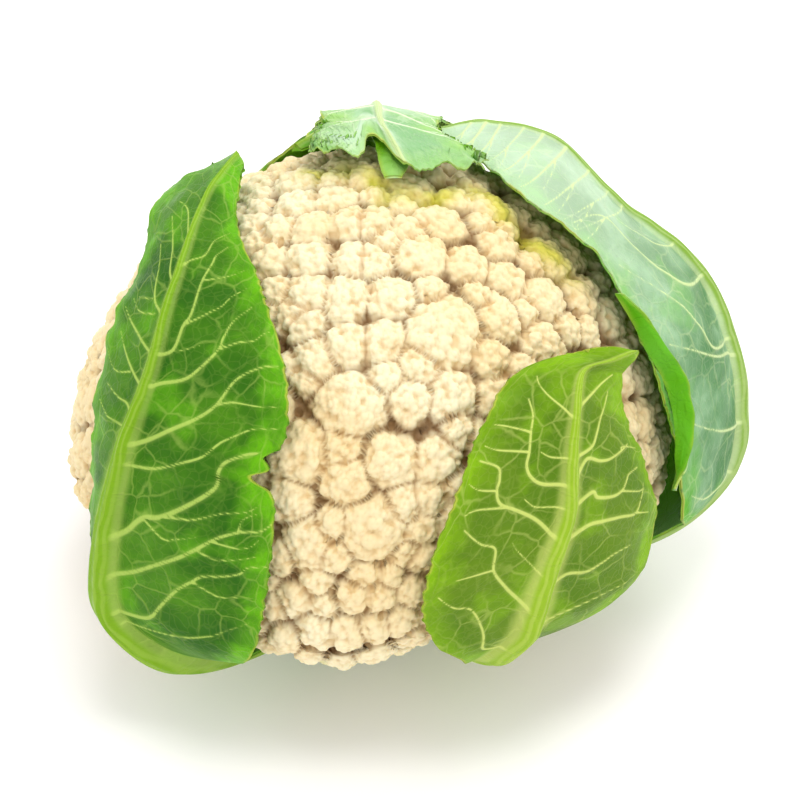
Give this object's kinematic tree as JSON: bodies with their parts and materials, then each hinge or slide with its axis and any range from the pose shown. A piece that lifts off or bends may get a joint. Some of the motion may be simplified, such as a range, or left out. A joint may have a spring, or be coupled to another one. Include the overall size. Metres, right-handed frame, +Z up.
{
  "type": "cauliflower",
  "caption": "Trimmed cauliflower head: a domed cream curd on a short cut stem, wrapped by green leaves with thick pale midribs.",
  "frame": {"origin": "centre of the stem's cut face, which the head rests on", "axes": "+Z up along the head's axis, +X to the large right leaf as the head is seen from its front, and the front faces -Y"},
  "size_m": [0.1945, 0.1848, 0.1438],
  "materials": {
    "curd": "matte",
    "stem": "matte",
    "leaf": "satin"
  },
  "bodies": {
    "root": {"curd": "curd", "stem": "stem", "left_leaf": "leaf", "front_right_leaf": "leaf", "right_leaf": "leaf", "top_leaf": "leaf", "back_left_leaf": "leaf", "stub_left": "stem", "stub_front": "stem", "stub_right": "stem"}
  },
  "joints": []
}
